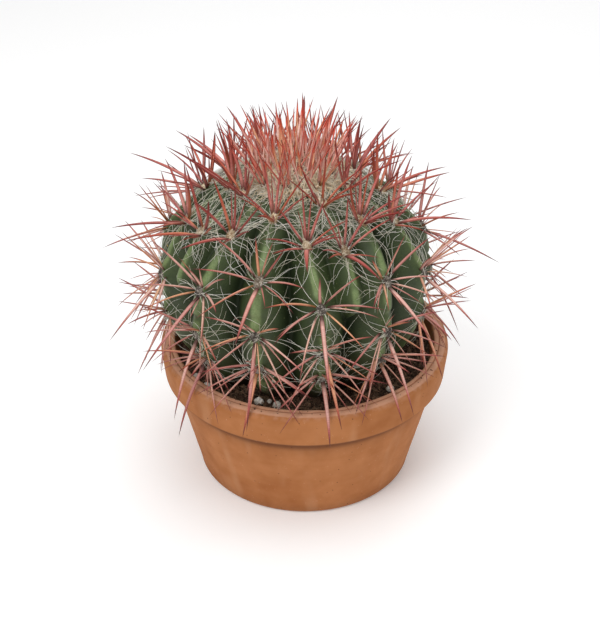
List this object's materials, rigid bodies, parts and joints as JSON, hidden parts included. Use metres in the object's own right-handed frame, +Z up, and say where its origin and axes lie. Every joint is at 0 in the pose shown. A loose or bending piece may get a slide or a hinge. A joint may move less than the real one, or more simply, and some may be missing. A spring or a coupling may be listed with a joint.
{
  "type": "potted barrel cactus",
  "caption": "Round ribbed barrel cactus with long curved red spines and a woolly crown, growing in dark soil in a low flared terracotta pan with a thick banded rim",
  "frame": {"origin": "under the middle of the whole, at the level of the pot's foot", "axes": "+Z is up along the plant's growth, -Z points out of the pot's foot, -Y is the front of the picture, +X is its right"},
  "size_m": [0.2996, 0.2874, 0.2926],
  "materials": {
    "terracotta": "unglazed fired clay with a pale mineral bloom",
    "potting_mix": "loose dark bark and peat mix",
    "cactus_skin": "waxy green plant skin, light on the rib crests",
    "spines": "hard salmon red spines with dark tips, over beige wool",
    "perlite": "rough white grain"
  },
  "bodies": {
    "root": {"pot": "terracotta", "soil": "potting_mix", "cactus_body": "cactus_skin", "crown": "spines", "perlite_1": "perlite", "perlite_2": "perlite", "perlite_3": "perlite", "perlite_4": "perlite", "perlite_5": "perlite", "perlite_6": "perlite", "perlite_7": "perlite", "perlite_8": "perlite"}
  },
  "joints": []
}
